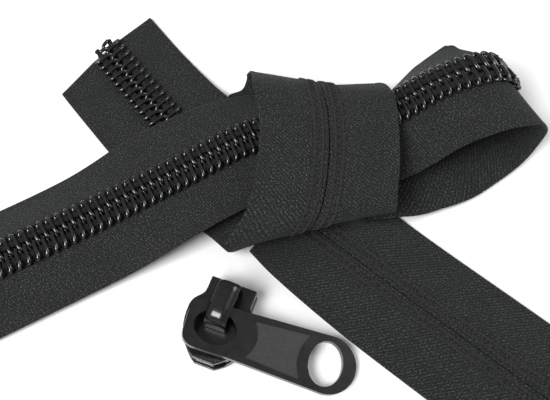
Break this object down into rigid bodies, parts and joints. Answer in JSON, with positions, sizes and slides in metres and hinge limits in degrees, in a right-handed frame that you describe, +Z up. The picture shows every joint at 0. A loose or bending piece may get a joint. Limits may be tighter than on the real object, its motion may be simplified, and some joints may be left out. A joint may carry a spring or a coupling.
{
  "type": "coil zipper chain with loose slider",
  "caption": "Nylon coil zipper tape, folded and knotted over itself, with a loose auto-lock slider and an eyeleted pull tab beside it.",
  "frame": {"origin": "centre of the part's box in plan, on the surface it lies on", "axes": "+Z up from the table; +X along the long way of the pile, towards the folded-over end of the main length; +Y away from the slider, towards the free end of the wrapping length"},
  "size_m": [0.1865, 0.1437, 0.0249],
  "materials": {
    "black_tape": "matt woven polyester",
    "black_nylon": "glossy",
    "black_thread": "satin thread",
    "grey_cord": "matt",
    "black_paint": "high gloss",
    "spring_steel": "satin"
  },
  "bodies": {
    "chain": {"main_left_tape": "black_tape", "main_left_coil": "black_nylon", "main_left_filler_cord": "grey_cord", "main_left_stitching": "black_thread", "main_right_tape": "black_tape", "main_right_coil": "black_nylon", "main_right_filler_cord": "grey_cord", "main_right_stitching": "black_thread", "wrap_left_tape": "black_tape", "wrap_left_coil": "black_nylon", "wrap_left_filler_cord": "grey_cord", "wrap_left_stitching": "black_thread", "wrap_right_tape": "black_tape", "wrap_right_coil": "black_nylon", "wrap_right_filler_cord": "grey_cord", "wrap_right_stitching": "black_thread", "tail_left_tape": "black_tape", "tail_left_coil": "black_nylon", "tail_left_filler_cord": "grey_cord", "tail_left_stitching": "black_thread", "tail_right_tape": "black_tape", "tail_right_coil": "black_nylon", "tail_right_filler_cord": "grey_cord", "tail_right_stitching": "black_thread"},
    "slider": {"slider_body": "black_paint", "crown_cover": "black_paint", "lock_spring": "spring_steel"},
    "puller": {"pull_tab": "black_paint"},
    "lever": {"lock_lever": "spring_steel"}
  },
  "joints": [
    {"name": "slider_lift", "type": "slide", "parent": "chain", "child": "slider", "axis": [0, 0, 1], "range_m": [0, 0.04]},
    {"name": "tab_swivel", "type": "hinge", "parent": "slider", "child": "puller", "pos_m": [-0.01005, -0.03701, 0.0099], "axis": [0.2173, -0.0582, 0.9744], "range_deg": [-96, 0]},
    {"name": "lever_lift", "type": "hinge", "parent": "slider", "child": "lever", "pos_m": [-0.00642, -0.02672, 0.01225], "axis": [-0.9336, 0.3584, 0], "range_deg": [0, 4], "stiffness_Nm_per_rad": 0.005}
  ]
}
